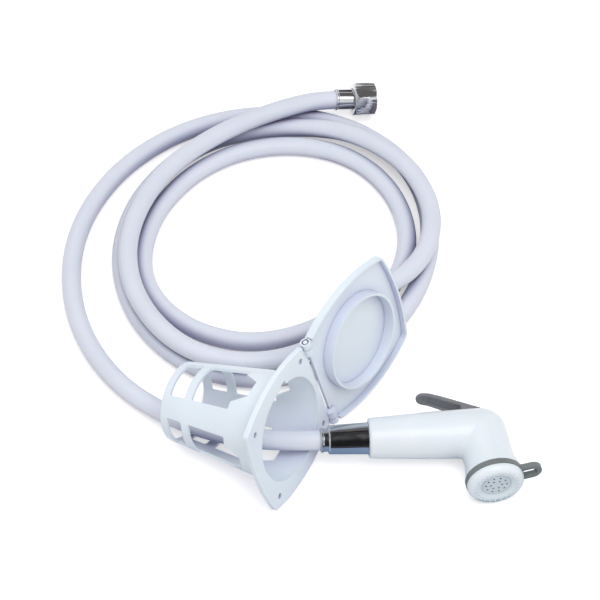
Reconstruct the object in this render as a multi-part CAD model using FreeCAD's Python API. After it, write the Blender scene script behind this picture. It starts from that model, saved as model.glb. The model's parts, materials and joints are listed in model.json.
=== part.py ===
"""Exterior shower box: a hinged wall box, a hose that comes out of it and a push-lever shower head.

All lengths are in millimetres and all angles in degrees. The origin lies on the surface that the
shower is laid out on, below the middle of the box and the shower head. +Z is up.
"""
import FreeCAD, Part
import math
import os

from FreeCAD import Placement, Rotation, Vector

# Flange of the box, seen from the front: the hinge side is straight and the other sides are bowed
FLANGE_WIDTH = 78.0
FLANGE_DEPTH = 82.0
FLANGE_THICKNESS = 3.5
FLANGE_CORNER = 3.5
FLANGE_EDGE = 0.8
SIDE_BOW = 9.0
FAR_BOW = 4.5
SCREW_HOLE = 4.0
SCREW_INSET = 7.25

# Basket behind the flange: a tapered tube with four long windows, four short ones and two hoops
OPENING = 72.0
BASKET_DEPTH = 86.0
BASKET_REAR = 56.0
BASKET_WALL = 2.2
WINDOW_COUNT = 4
WINDOW_ANGLE = 58.0
WINDOW_FRONT = 31.0
HOOP_FRONT = 62.0
HOOP_LENGTH = 6.0
END_RING_LENGTH = 5.5
WINDOW_TAB_REACH = 11.5
WINDOW_TAB_ANGLE = 40.0
WINDOW_TAB_TIP_ANGLE = 20.0
WINDOW_CORNER = 1.5
CATCH_WIDTH = 6.0
CATCH_DEPTH = 1.4
CATCH_OFFSET = 9.0

# Hinge between the box and its lid
HINGE_OUTSET = 2.0
HINGE_HEIGHT = 0.4
KNUCKLE = 7.4
HINGE_PIN = 4.8
PIN_FIT = 0.05
LUG_LENGTH = 6.3
LUG_OUTER = 72.6
PIN_SEAT = 5.4
EAR_LENGTH = 4.8
EAR_GAP = 0.3
KNUCKLE_RELIEF = 0.4
LID_OPEN = 171.0

# Lid, measured where it closes on the flange
LID_GAP = 1.0
LID_THICKNESS = 2.0
LID_EDGE = 0.9
LIP_WALL = 1.8
LIP_CLEARANCE = 0.6
LIP_REACH = 4.0
LID_EDGE_SETBACK = 0.5
COLLAR_CLEARANCE = 1.2
COLLAR_WALL = 1.9
COLLAR_HEIGHT = 8.0

# How the box lies: on its lower flange edge and the rear of its basket, a little rolled over
BOX_X = -40.9
BOX_Y = -36.2
BOX_YAW = -28.0
BOX_ROLL = 4.0

# Hose and the points of its route, from the shower head through the box to the supply end
HOSE = 14.0
HOSE_BORE = 8.0
RUN_SHARE = 0.45
ROUTE = [
    (-2, -26.2, 23.2), (-38, -29.2, 24.4), (-80, -20.5, 17.5), (-124, 2, 10), (-164, 35, 7),
    (-192, 82, 7), (-203, 137, 7), (-196, 192, 7), (-168, 245, 7), (-121, 284, 7),
    (-62, 300, 7), (-4, 290, 7), (41, 256, 7), (62, 206, 7), (61, 152, 7),
    (44, 104, 7), (14, 68, 7), (-14, 48.5, 7), (-46, 40.5, 7), (-80, 39, 7),
    (-111, 50, 7), (-138, 74, 7), (-158, 108, 7), (-167, 152, 7), (-160, 198, 7),
    (-139, 237, 7), (-108, 268, 7), (-71, 281, 7), (-31, 282, 10), (6, 267, 20),
    (43, 237, 21.5), (62, 196, 21.5), (62, 158, 21.5), (47, 126.5, 21.5), (16.5, 102.5, 24),
    (-21, 82, 9), (-66, 69.5, 7), (-106, 79.5, 7), (-134.5, 103, 7), (-149.5, 135, 7),
    (-149, 170, 7), (-138, 205, 7), (-112, 240, 7), (-75, 262, 7), (-31, 266, 7),
    (8, 251.5, 7), (35.5, 218, 7), (46, 176, 7), (41, 143, 7), (26.5, 113.5, 7),
    (10, 85.8, 7), (-15, 62, 18.5), (-52, 42, 21.7), (-93, 43, 21.5), (-127.5, 64, 21.5),
    (-152, 101, 21.5), (-161, 142, 21), (-156, 182, 21), (-139, 221, 21), (-113, 250, 21.5),
    (-79, 274, 22.8), (-36, 294, 23), (-10, 303.5, 18), (12, 307, 14.6),
]
GAP_STEP = 3.0
GAP_SKIP = 45.0

# Fittings that both hose ends have: a tail inside, a crimped sleeve outside, a flat washer
SLEEVE_WALL = 1.0
SLEEVE_BEAD = 0.6
SLEEVE_BEAD_LENGTH = 2.0
SLEEVE_SETBACK = 0.3
TAIL_BORE = 6.0
TAIL_LENGTH = 18.0
TAIL_FLANGE = 18.2
TAIL_FLANGE_LENGTH = 1.5
WASHER = 18.4
WASHER_BORE = 9.0
WASHER_LENGTH = 2.0
SWIVEL_GAP = 0.3

# Supply end: the sleeve that shows behind the hexagonal union nut
SUPPLY_SLEEVE = 20.3
NUT_ACROSS_FLATS = 24.0
NUT_LENGTH = 17.4
NUT_BEHIND = 6.5
NUT_THREAD = 19.0
NUT_GROOVE = 19.8
NUT_GROOVE_MARGIN = 0.2
NUT_ROLL = 130.0
NUT_CHAMFER = 1.3

# Conical nut and sleeve at the shower head's end of the hose
HEAD_SLEEVE = 18.7
CONE_NUT_LENGTH = 27.4
CONE_NUT_SMALL = 19.9
CONE_NUT_LARGE = 22.0
CONE_NUT_BEHIND = 13.4
CONE_NUT_THREAD = 19.0
CONE_NUT_EDGE = 0.8

# Handle and head of the shower, in a frame at the elbow with X along the handle
HANDLE_YAW = 4.6
HOSE_END_TO_ELBOW = 92.0
HANDLE_START = 27.8
HANDLE_MIDDLE = 32.8
HANDLE_END = 34.4
HANDLE_MIDDLE_REACH = 27.0
HANDLE_ROUND = 2.0
SPIGOT_CLEARANCE = 0.3
WATERWAY = 9.0
WATERWAY_DEPTH = 16.0
SPRAY_TURN = -84.1
NECK_LENGTH = 36.5
NECK_END = 38.4
NECK_STRAIGHT = 24.0

# Hanging ring, spray face and nozzle plate at the end of the neck
RING = 40.0
RING_LENGTH = 4.0
RING_SEAT = 33.8
RING_FIT = 0.2
LOOP_REACH = 32.6
LOOP_WIDTH = 13.2
LOOP_BAR = 3.4
FACE = 39.0
FACE_EDGE = 1.3
FACE_BULGE = 1.3
FACE_HEIGHT = 6.0
FACE_RIM = 30.4
FACE_RIM_WIDTH = 1.6
PLATE = 20.0
PLATE_RECESS = 2.0
PLATE_LENGTH = 2.0
PLATE_STEP = 1.0
PLATE_FIT = 0.05
SEAL_LENGTH = 2.0
NOZZLE = 0.9
NOZZLE_INNER_CIRCLE = 7.8
NOZZLE_INNER_COUNT = 6
NOZZLE_OUTER_CIRCLE = 14.4
NOZZLE_OUTER_COUNT = 10

# Press lever on the handle and the valve below it
LEVER_WIDTH = 12.0
LEVER_TIP = Vector(-42.0, 33.7, 0)
LEVER_BEND = Vector(-33.0, 32.4, 0)
LEVER_WAIST = Vector(-10.0, 22.5, 0)
LEVER_TOE = Vector(3.7, 16.5, 0)
LEVER_THICKNESS = 3.0
LEVER_HEEL_REACH = 12.5
LEVER_HEEL = 14.8
LEVER_BOSS = 6.4
LEVER_SCOOP_WALL = 1.8
LEVER_SCOOP_DEPTH = 1.2
LEVER_PIVOT = Vector(-2.0, 12.5, 0)
LEVER_SIDE_GAP = 0.3
SLOT_REACH = 15.0
SLOT_TOE = 6.0
SLOT_FLOOR = 8.9
LEVER_PIN = 3.0
LEVER_PIN_LENGTH = 20.0
VALVE_X = -9.0
VALVE_ROD = 3.2
VALVE_HEAD = 4.6
VALVE_HEAD_LENGTH = 1.5
VALVE_TOP = 14.5
VALVE_LENGTH = 15.0
CARTRIDGE = 8.0
CARTRIDGE_LENGTH = 7.0
CARTRIDGE_TOP_GAP = 0.4
VALVE_FIT = 0.05
O_RING = 1.4
VALVE_ROOM = 3.0

# Values that follow from the driving dimensions
FLANGE_HALF_X = FLANGE_WIDTH / 2
FLANGE_HALF_Y = FLANGE_DEPTH / 2
HINGE_Y = FLANGE_HALF_Y + HINGE_OUTSET
LID_INNER = LID_GAP
LID_OUTER = LID_GAP + LID_THICKNESS
SCREW_REACH = (FLANGE_HALF_X + FLANGE_HALF_Y) / 2 - SCREW_INSET
HEAD_REACH = HOSE_END_TO_ELBOW + (NECK_LENGTH + RING_LENGTH) * math.cos(math.radians(SPRAY_TURN))
HANDLE_DIP = math.degrees(math.asin((ROUTE[0][2] - RING / 2) / HEAD_REACH))
BOX_REST = math.degrees(math.atan2(FLANGE_HALF_X + SIDE_BOW - BASKET_REAR / 2,
                                   BASKET_DEPTH - FLANGE_THICKNESS))
X_AXIS = Vector(1, 0, 0)
Y_AXIS = Vector(0, 1, 0)
Z_AXIS = Vector(0, 0, 1)
BEYOND = 60.0


def block(low, high):
    """Return the box between two opposite corners."""
    size = high - low
    return Part.makeBox(size.x, size.y, size.z, low)


def rod(diameter, start, length, axis):
    """Return a cylinder that starts at a point and runs along an axis."""
    return Part.makeCylinder(diameter / 2, length, start, axis)


def pipe(outer, inner, start, length, axis):
    """Return a cylinder with a round bore right through it."""
    return rod(outer, start, length, axis).cut(rod(inner, start, length, axis))


def turned(profile):
    """Turn a profile of (position along X, radius) points about the X axis."""
    points = [Vector(x, radius, 0) for x, radius in profile]
    face = Part.Face(Part.makePolygon(points + points[:1]))
    return face.revolve(Vector(), X_AXIS, 360)


def bow_disc(half_chord, bow, middle, direction, offset, low, height):
    """Return the disc whose edge is a bowed side of the flange, moved outwards by an offset."""
    radius = (half_chord ** 2 + bow ** 2) / (2 * bow)
    centre = direction * (middle + bow - radius)
    return rod(2 * (radius + offset), centre + Z_AXIS * low, height, Z_AXIS)


def plate(offset, low, high):
    """Return a plate with the flange's outline, moved outwards, between two heights."""
    height = high - low
    body = block(Vector(-BEYOND, -BEYOND, low), Vector(BEYOND, FLANGE_HALF_Y + offset, high))
    for direction in (X_AXIS, X_AXIS * -1):
        body = body.common(bow_disc(FLANGE_HALF_Y, SIDE_BOW, FLANGE_HALF_X, direction, offset, low, height))
    body = body.common(bow_disc(FLANGE_HALF_X, FAR_BOW, FLANGE_HALF_Y, Y_AXIS * -1, offset, low, height))
    corners = [edge for edge in body.Edges if edge.BoundBox.ZLength > height / 2]
    return body.makeFillet(FLANGE_CORNER + offset, corners)


def rounded_top(body, height, radius):
    """Round the edges of a plate that lie at one height."""
    rim = [edge for edge in body.Edges if edge.BoundBox.ZMin > height - radius / 4]
    return body.makeFillet(radius, rim)


def basket_radius(depth):
    """Return the basket's outer radius at a depth behind the flange's front face."""
    front = OPENING / 2 + BASKET_WALL
    share = (depth - FLANGE_THICKNESS) / (BASKET_DEPTH - FLANGE_THICKNESS)
    return front + (BASKET_REAR / 2 - front) * share


def window_sector(front, rear):
    """Return the sector that cuts one window between two depths, on the +Y side."""
    inner = BASKET_REAR / 4
    reach = OPENING
    half = math.radians(WINDOW_ANGLE / 2)
    spread = 2 * reach * math.tan(half)
    wedge = Part.Face(Part.makePolygon([Vector(0, 0, -rear), Vector(spread / 2, reach, -rear),
                                        Vector(-spread / 2, reach, -rear), Vector(0, 0, -rear)]))
    sector = wedge.extrude(Vector(0, 0, rear - front))
    core = rod(2 * inner, Vector(0, 0, -rear - 1), rear - front + 2, Z_AXIS)
    sector = sector.cut(core)
    return rounded_radial_edges(sector, WINDOW_CORNER)


def rounded_radial_edges(sector, radius):
    """Round the four edges of a window sector that run outwards."""
    edges = []
    for edge in sector.Edges:
        run = edge.Vertexes[-1].Point - edge.Vertexes[0].Point
        straight = run.Length > BASKET_REAR / 4 and abs(run.z) < 1e-6 and run.y != 0
        if straight:
            edges.append(edge)
    return sector.makeFillet(radius, edges)


def window_tab():
    """Return the tapered cut that lengthens a long window towards the flange."""
    depth = WINDOW_FRONT
    tip = WINDOW_FRONT - WINDOW_TAB_REACH
    foot = basket_radius(depth) * math.sin(math.radians(WINDOW_TAB_ANGLE / 2))
    head = basket_radius(tip) * math.sin(math.radians(WINDOW_TAB_TIP_ANGLE / 2))
    overlap = depth + WINDOW_CORNER
    corners = [Vector(-foot, 0, -overlap), Vector(foot, 0, -overlap), Vector(foot, 0, -depth),
               Vector(head, 0, -tip), Vector(-head, 0, -tip), Vector(-foot, 0, -depth)]
    face = Part.Face(Part.makePolygon(corners + corners[:1]))
    return face.extrude(Vector(0, OPENING, 0))


def basket():
    """Return the tapered basket with its windows, its hoop and its end ring."""
    front = Vector(basket_radius(FLANGE_THICKNESS), 0, 0)
    rear = Vector(BASKET_REAR / 2, 0, -BASKET_DEPTH)
    wall = Vector(BASKET_WALL, 0, 0)
    points = [front, Vector(front.x, 0, -FLANGE_THICKNESS), rear, rear - wall,
              Vector(OPENING / 2, 0, -FLANGE_THICKNESS), front - wall, front]
    shell = Part.Face(Part.makePolygon(points)).revolve(Vector(), Z_AXIS, 360)
    hoop_rear = HOOP_FRONT + HOOP_LENGTH
    cuts = [window_sector(WINDOW_FRONT, HOOP_FRONT).fuse(window_tab()),
            window_sector(hoop_rear, BASKET_DEPTH - END_RING_LENGTH)]
    for turn in range(WINDOW_COUNT):
        for cut in cuts:
            window = cut.copy()
            window.rotate(Vector(), Z_AXIS, turn * 360 / WINDOW_COUNT)
            shell = shell.cut(window)
    return shell


def catch_notch():
    """Return the notch in the opening's edge that the lid's catch snaps into."""
    outer = OPENING / 2 + CATCH_DEPTH
    half = CATCH_WIDTH / 2
    return block(Vector(-outer, CATCH_OFFSET - half, -FLANGE_THICKNESS),
                 Vector(-OPENING / 4, CATCH_OFFSET + half, 0))


def box_housing():
    """Return the flange, basket and hinge lugs, one moulding."""
    flange = rounded_top(plate(0, -FLANGE_THICKNESS, 0), 0, FLANGE_EDGE)
    flange = flange.cut(rod(OPENING, Vector(0, 0, -FLANGE_THICKNESS), FLANGE_THICKNESS, Z_AXIS))
    for side in (-1, 1):
        for end in (-1, 1):
            centre = Vector(side * SCREW_REACH, end * SCREW_REACH, -FLANGE_THICKNESS)
            flange = flange.cut(rod(SCREW_HOLE, centre, FLANGE_THICKNESS, Z_AXIS))
        inner = side * LUG_OUTER / 2
        corner = block(Vector(min(inner, side * BEYOND), HINGE_Y - KNUCKLE / 2 - KNUCKLE_RELIEF, -BEYOND),
                       Vector(max(inner, side * BEYOND), BEYOND, BEYOND))
        flange = flange.cut(corner)
    housing = flange.fuse(basket()).cut(catch_notch())
    for side in (-1, 1):
        outer = Vector(side * LUG_OUTER / 2, HINGE_Y, HINGE_HEIGHT)
        lug = rod(KNUCKLE, outer, LUG_LENGTH, X_AXIS * -side)
        hole = rod(HINGE_PIN, outer + X_AXIS * side * EAR_GAP, PIN_SEAT + EAR_GAP, X_AXIS * -side)
        housing = housing.fuse(lug).cut(hole)
    return housing.removeSplitter()


def hinge_pin(side):
    """Return one hinge pin, pressed into a lug and reaching through the lid's ear."""
    inner = LUG_OUTER / 2 - PIN_SEAT
    outer = LUG_OUTER / 2 + EAR_GAP + EAR_LENGTH
    start = Vector(side * inner, HINGE_Y, HINGE_HEIGHT)
    return rod(HINGE_PIN, start, outer - inner, X_AXIS * side)


def lid():
    """Return the lid as it closes on the flange: panel, lip, collar and hinge ears."""
    panel = rounded_top(plate(LIP_CLEARANCE + LIP_WALL, LID_INNER, LID_OUTER), LID_OUTER, LID_EDGE)
    foot = LID_OUTER - LID_THICKNESS - LIP_REACH
    lip = plate(LIP_CLEARANCE + LIP_WALL, foot, LID_INNER).cut(plate(LIP_CLEARANCE, foot, LID_INNER))
    lip = lip.cut(block(Vector(-BEYOND, HINGE_Y - KNUCKLE / 2, -BEYOND), Vector(BEYOND, BEYOND, BEYOND)))
    body = panel.fuse(lip)
    body = body.cut(block(Vector(-BEYOND, HINGE_Y - LID_EDGE_SETBACK, -BEYOND), Vector(BEYOND, BEYOND, BEYOND)))
    collar = OPENING - 2 * COLLAR_CLEARANCE
    collar_low = Vector(0, 0, LID_INNER - COLLAR_HEIGHT)
    body = body.fuse(pipe(collar, collar - 2 * COLLAR_WALL, collar_low, COLLAR_HEIGHT, Z_AXIS))
    ear_start = LUG_OUTER / 2 + EAR_GAP
    for side in (-1, 1):
        near = side * (LUG_OUTER / 2 - LUG_LENGTH - EAR_GAP)
        far = side * ear_start
        body = body.cut(block(Vector(min(near, far), HINGE_Y - KNUCKLE / 2 - KNUCKLE_RELIEF, -BEYOND),
                              Vector(max(near, far), BEYOND, BEYOND)))
        start = Vector(side * ear_start, HINGE_Y, HINGE_HEIGHT)
        body = body.fuse(rod(KNUCKLE, start, EAR_LENGTH, X_AXIS * side))
        body = body.cut(rod(HINGE_PIN + 2 * PIN_FIT, start, EAR_LENGTH + LIP_WALL, X_AXIS * side))
    return body.removeSplitter()


def open_lid(closed):
    """Swing the closed lid about its hinge to where it lies open."""
    swung = closed.copy()
    swung.rotate(Vector(0, HINGE_Y, HINGE_HEIGHT), X_AXIS, -LID_OPEN)
    return swung


def box_placement(housing):
    """Return where the box lies: the front faces +X, tipped back until two edges touch the surface."""
    turn = Rotation(Z_AXIS, BOX_YAW) * Rotation(Y_AXIS, -BOX_REST) * Rotation(X_AXIS, BOX_ROLL)
    turn = turn * Rotation(Y_AXIS, 90)
    laid = housing.copy()
    laid.Placement = Placement(Vector(), turn)
    lift = -laid.optimalBoundingBox().ZMin
    return Placement(Vector(BOX_X, BOX_Y, lift), turn)


def hose_path(points):
    """Join straight runs by tangent arcs; return the wire and each arc's radius."""
    edges = []
    radii = []
    start = points[0]
    for before, corner, after in zip(points, points[1:], points[2:]):
        arriving = (corner - before).normalize()
        leaving = (after - corner).normalize()
        reach = RUN_SHARE * min(before.distanceToPoint(corner), corner.distanceToPoint(after))
        half_turn = arriving.getAngle(leaving) / 2
        radius = reach / math.tan(half_turn)
        inward = (leaving - arriving).normalize()
        middle = corner + inward * (radius / math.cos(half_turn) - radius)
        entry = corner - arriving * reach
        exit_point = corner + leaving * reach
        edges.append(Part.LineSegment(start, entry).toShape())
        edges.append(Part.Arc(entry, middle, exit_point).toShape())
        radii.append(radius)
        start = exit_point
    edges.append(Part.LineSegment(start, points[-1]).toShape())
    return Part.Wire(edges), radii


def least_gap(wire):
    """Return the hose's least gap to itself, measured on points along its centre line."""
    points = wire.discretize(Distance=GAP_STEP)
    skip = int(GAP_SKIP / GAP_STEP)
    least = BEYOND
    for index, point in enumerate(points):
        for other in points[index + skip:]:
            least = min(least, point.distanceToPoint(other))
    return least - HOSE


def shower_hose():
    """Return the hose, bored at both ends for the tails, and print its measures."""
    points = [Vector(*point) for point in ROUTE]
    wire, radii = hose_path(points)
    section = Part.Wire(Part.makeCircle(HOSE / 2, points[0], points[1] - points[0]))
    hose = wire.makePipeShell([section], True, False)
    expected = math.pi * HOSE ** 2 / 4 * wire.Length
    print("hose length", round(wire.Length, 1), "volume share", round(hose.Volume / expected, 5))
    print("hose radii", [round(radius, 1) for radius in radii])
    print("least gap", round(least_gap(wire), 2))
    for end, inside in ((points[0], points[1]), (points[-1], points[-2])):
        hose = hose.cut(rod(HOSE_BORE, end, TAIL_LENGTH, inside - end))
    return hose


def tail():
    """Return a hose tail: its tube reaches back into the hose and its flange closes the hose end."""
    stem = rod(HOSE_BORE, Vector(-TAIL_LENGTH, 0, 0), TAIL_LENGTH, X_AXIS)
    flange = rod(TAIL_FLANGE, Vector(), TAIL_FLANGE_LENGTH, X_AXIS)
    bore = rod(TAIL_BORE, Vector(-TAIL_LENGTH, 0, 0), TAIL_LENGTH + TAIL_FLANGE_LENGTH, X_AXIS)
    return stem.fuse(flange).cut(bore).removeSplitter()


def sleeve(length):
    """Return a crimped sleeve of a length over the hose's end, with a bead at its rear edge."""
    outer = HOSE / 2 + SLEEVE_WALL
    rear = -length
    front = -SLEEVE_SETBACK
    waist = rear + SLEEVE_BEAD_LENGTH
    bead = outer + SLEEVE_BEAD
    profile = [(rear, HOSE / 2), (rear, outer), (rear + SLEEVE_BEAD, bead), (waist - SLEEVE_BEAD, bead),
               (waist, outer), (front, outer), (front, HOSE / 2)]
    return turned(profile)


def washer():
    """Return the flat washer that lies in front of a tail's flange."""
    start = Vector(TAIL_FLANGE_LENGTH + SWIVEL_GAP, 0, 0)
    return pipe(WASHER, WASHER_BORE, start, WASHER_LENGTH, X_AXIS)


def supply_nut():
    """Return the hexagonal union nut with chamfered corners, open at the front."""
    corner = NUT_ACROSS_FLATS / math.sqrt(3)
    points = [Vector(-NUT_BEHIND, corner * math.cos(math.radians(60 * step + NUT_ROLL)),
                     corner * math.sin(math.radians(60 * step + NUT_ROLL))) for step in range(7)]
    hexagon = Part.Face(Part.makePolygon(points)).extrude(Vector(NUT_LENGTH, 0, 0))
    front = NUT_LENGTH - NUT_BEHIND
    side = corner + 1
    face_edge = NUT_ACROSS_FLATS / 2 - NUT_CHAMFER / 2
    slope = (side - face_edge) * math.tan(math.radians(30))
    cone = turned([(-NUT_BEHIND, 0), (-NUT_BEHIND, face_edge), (slope - NUT_BEHIND, side),
                   (front - slope, side), (front, face_edge), (front, 0)])
    nut = hexagon.common(cone)
    rear_bore = HOSE + 2 * SLEEVE_WALL + 2 * SWIVEL_GAP
    nut = nut.cut(rod(rear_bore, Vector(-NUT_BEHIND, 0, 0), NUT_LENGTH, X_AXIS))
    groove = SWIVEL_GAP + TAIL_FLANGE_LENGTH + SWIVEL_GAP + WASHER_LENGTH + NUT_GROOVE_MARGIN
    nut = nut.cut(rod(NUT_GROOVE, Vector(-SWIVEL_GAP, 0, 0), groove, X_AXIS))
    return nut.cut(rod(NUT_THREAD, Vector(-SWIVEL_GAP, 0, 0), NUT_LENGTH, X_AXIS))


def cone_nut():
    """Return the conical nut between the sleeve and the handle, in the hose end's frame."""
    rear = -CONE_NUT_BEHIND
    front = CONE_NUT_LENGTH - CONE_NUT_BEHIND
    bore = HOSE / 2 + SLEEVE_WALL + SWIVEL_GAP
    small = CONE_NUT_SMALL / 2
    large = CONE_NUT_LARGE / 2
    thread = CONE_NUT_THREAD / 2
    profile = [(rear, bore), (rear, small - CONE_NUT_EDGE), (rear + CONE_NUT_EDGE, small), (front, large),
               (front, thread), (-SWIVEL_GAP, thread), (-SWIVEL_GAP, bore)]
    return turned(profile)


def handle_profile():
    """Return the handle's half outline, from its spigot to the elbow, as a closed wire."""
    start = CONE_NUT_LENGTH - CONE_NUT_BEHIND - HOSE_END_TO_ELBOW
    spigot = TAIL_FLANGE_LENGTH + SWIVEL_GAP + WASHER_LENGTH - HOSE_END_TO_ELBOW
    thread = CONE_NUT_THREAD / 2 - SPIGOT_CLEARANCE
    first = HANDLE_START / 2
    lean = HANDLE_ROUND * (1 - math.sqrt(0.5))
    lines = [Vector(0, 0, 0), Vector(spigot, 0, 0), Vector(spigot, thread, 0), Vector(start, thread, 0),
             Vector(start, first - HANDLE_ROUND, 0)]
    edges = [Part.LineSegment(a, b).toShape() for a, b in zip(lines, lines[1:])]
    shoulder = Vector(start + HANDLE_ROUND, first, 0)
    edges.append(Part.Arc(lines[-1], Vector(start + lean, first - lean, 0), shoulder).toShape())
    end = Vector(0, HANDLE_END / 2, 0)
    edges.append(Part.Arc(shoulder, Vector(-HANDLE_MIDDLE_REACH, HANDLE_MIDDLE / 2, 0), end).toShape())
    edges.append(Part.LineSegment(end, lines[0]).toShape())
    return Part.Wire(edges)


def along_spray(shape):
    """Turn a shape made along X so that it runs along the spray axis."""
    turned_shape = shape.copy()
    turned_shape.rotate(Vector(), Z_AXIS, SPRAY_TURN)
    return turned_shape


def lever_slot():
    """Return the slot in the handle that the lever's heel sinks into."""
    half = LEVER_WIDTH / 2 + LEVER_SIDE_GAP
    return block(Vector(-SLOT_REACH, SLOT_FLOOR, -half), Vector(SLOT_TOE, BEYOND, half))


def valve_bore():
    """Return the stepped bore below the slot that holds the cartridge."""
    depth = CARTRIDGE_TOP_GAP + CARTRIDGE_LENGTH
    top = Vector(VALVE_X, SLOT_FLOOR, 0)
    room = VALVE_TOP - VALVE_LENGTH - VALVE_ROOM
    narrow = Vector(VALVE_X, room, 0)
    wide = rod(CARTRIDGE, top, depth, Y_AXIS * -1)
    return wide.fuse(rod(CARTRIDGE - 2, narrow, SLOT_FLOOR - room, Y_AXIS))


def handset_body():
    """Return the curved handle and head, one moulding."""
    handle = Part.Face(handle_profile()).revolve(Vector(), X_AXIS, 360)
    elbow = Part.makeSphere(HANDLE_END / 2)
    neck_edge = HANDLE_END / 2
    seat = RING_SEAT / 2
    neck = turned([(0, 0), (0, neck_edge), (NECK_STRAIGHT, neck_edge), (NECK_LENGTH, NECK_END / 2),
                   (NECK_LENGTH, seat), (NECK_LENGTH + RING_LENGTH, seat), (NECK_LENGTH + RING_LENGTH, 0)])
    body = handle.fuse([elbow, along_spray(neck)]).removeSplitter()
    spigot = TAIL_FLANGE_LENGTH + SWIVEL_GAP + WASHER_LENGTH - HOSE_END_TO_ELBOW
    inlet = rod(WATERWAY, Vector(spigot, 0, 0), WATERWAY_DEPTH, X_AXIS)
    outlet = rod(WATERWAY, Vector(NECK_LENGTH + RING_LENGTH, 0, 0), WATERWAY_DEPTH, X_AXIS * -1)
    body = body.cut([inlet, along_spray(outlet), lever_slot(), valve_bore()])
    pin_start = LEVER_PIVOT - Vector(0, 0, LEVER_PIN_LENGTH / 2)
    return body.cut(rod(LEVER_PIN, pin_start, LEVER_PIN_LENGTH, Z_AXIS)).removeSplitter()


def hanging_ring():
    """Return the ring clamped behind the spray face, with its loop for hanging the shower up."""
    start = Vector(NECK_LENGTH, 0, 0)
    ring = rod(RING, start, RING_LENGTH, X_AXIS)
    half = LOOP_WIDTH / 2
    centre = Vector(NECK_LENGTH, LOOP_REACH - half, 0)
    loop = rod(LOOP_WIDTH, centre, RING_LENGTH, X_AXIS)
    arms = block(Vector(NECK_LENGTH, 0, -half), Vector(NECK_LENGTH + RING_LENGTH, centre.y, half))
    outer = ring.fuse([loop, arms]).removeSplitter()
    slot_half = half - LOOP_BAR
    slot = rod(2 * slot_half, centre, RING_LENGTH, X_AXIS)
    slot = slot.fuse(block(Vector(NECK_LENGTH, 0, -slot_half),
                           Vector(NECK_LENGTH + RING_LENGTH, centre.y, slot_half)))
    slot = slot.cut(rod(RING, start, RING_LENGTH, X_AXIS))
    bore = rod(RING_SEAT + 2 * RING_FIT, start, RING_LENGTH, X_AXIS)
    return along_spray(outer.cut([slot, bore]))


def face_profile():
    """Return the half section of the domed spray face, from its rear edge to the plate's seat."""
    rear = NECK_LENGTH + RING_LENGTH
    edge = FACE / 2
    rim = FACE_RIM / 2
    front = rear + FACE_HEIGHT
    shoulder = Vector(rear + FACE_EDGE, edge, 0)
    rim_point = Vector(front, rim, 0)
    chord = (rim_point - shoulder).normalize()
    dome = (shoulder + rim_point) * 0.5 + Vector(-chord.y, chord.x, 0) * FACE_BULGE
    plate_rear = rear + SEAL_LENGTH
    plate_front = front - PLATE_RECESS
    hole = PLATE / 2 + PLATE_FIT
    step = hole + PLATE_STEP
    seat = plate_front - PLATE_LENGTH / 2
    back = [Vector(front, rim - FACE_RIM_WIDTH, 0), Vector(plate_front, hole, 0), Vector(seat, hole, 0),
            Vector(seat, step, 0), Vector(plate_rear, step, 0), Vector(plate_rear, RING_SEAT / 2, 0),
            Vector(rear, RING_SEAT / 2, 0), Vector(rear, edge, 0), shoulder]
    edges = [Part.Arc(shoulder, dome, rim_point).toShape()]
    corners = [rim_point] + back
    edges += [Part.LineSegment(a, b).toShape() for a, b in zip(corners, corners[1:])]
    return Part.Wire(edges)


def spray_face():
    """Return the white cap that closes the head."""
    return along_spray(Part.Face(face_profile()).revolve(Vector(), X_AXIS, 360))


def nozzle_plate():
    """Return the recessed plate with its two rings of spray holes."""
    front = NECK_LENGTH + RING_LENGTH + FACE_HEIGHT - PLATE_RECESS
    rear = NECK_LENGTH + RING_LENGTH + SEAL_LENGTH
    step = front - PLATE_LENGTH / 2
    disc = rod(PLATE, Vector(rear, 0, 0), front - rear, X_AXIS)
    disc = disc.fuse(rod(PLATE + 2 * PLATE_STEP, Vector(rear, 0, 0), step - rear, X_AXIS))
    holes = []
    rings = ((NOZZLE_INNER_CIRCLE / 2, NOZZLE_INNER_COUNT), (NOZZLE_OUTER_CIRCLE / 2, NOZZLE_OUTER_COUNT))
    for radius, count in rings:
        for index in range(count):
            angle = 2 * math.pi * index / count
            centre = Vector(rear, radius * math.cos(angle), radius * math.sin(angle))
            holes.append(rod(NOZZLE, centre, front - rear, X_AXIS))
    return along_spray(disc.cut(holes).removeSplitter())


def face_seal():
    """Return the flat ring that seals the spray face to the head."""
    inner = PLATE + 2 * PLATE_STEP - SEAL_LENGTH
    ring = pipe(RING_SEAT - 2 * RING_FIT, inner, Vector(NECK_LENGTH + RING_LENGTH, 0, 0), SEAL_LENGTH, X_AXIS)
    return along_spray(ring)


def lever_outline():
    """Return the lever's side view as a closed wire."""
    slope = (LEVER_BEND - LEVER_WAIST).normalize()
    inward = Vector(-slope.y, slope.x, 0) * LEVER_THICKNESS
    tip_in = LEVER_TIP - Y_AXIS * LEVER_THICKNESS
    bend_in = LEVER_BEND + inward
    heel_x = -LEVER_HEEL_REACH
    share = (heel_x - bend_in.x) / slope.x
    heel_top = bend_in + slope * share
    heel = Vector(heel_x, LEVER_HEEL + 1, 0)
    heel_low = Vector(VALVE_X + VALVE_HEAD / 2, LEVER_HEEL, 0)
    boss = LEVER_BOSS / 2
    boss_left = LEVER_PIVOT - X_AXIS * boss
    boss_low = LEVER_PIVOT - Y_AXIS * boss
    boss_right = LEVER_PIVOT + X_AXIS * boss
    path = [boss_right, LEVER_TOE, LEVER_WAIST, LEVER_BEND, LEVER_TIP, tip_in, bend_in, heel_top, heel,
            heel_low, boss_left]
    edges = [Part.LineSegment(a, b).toShape() for a, b in zip(path, path[1:])]
    edges.append(Part.Arc(boss_left, boss_low, boss_right).toShape())
    return Part.Wire(edges)


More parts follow.
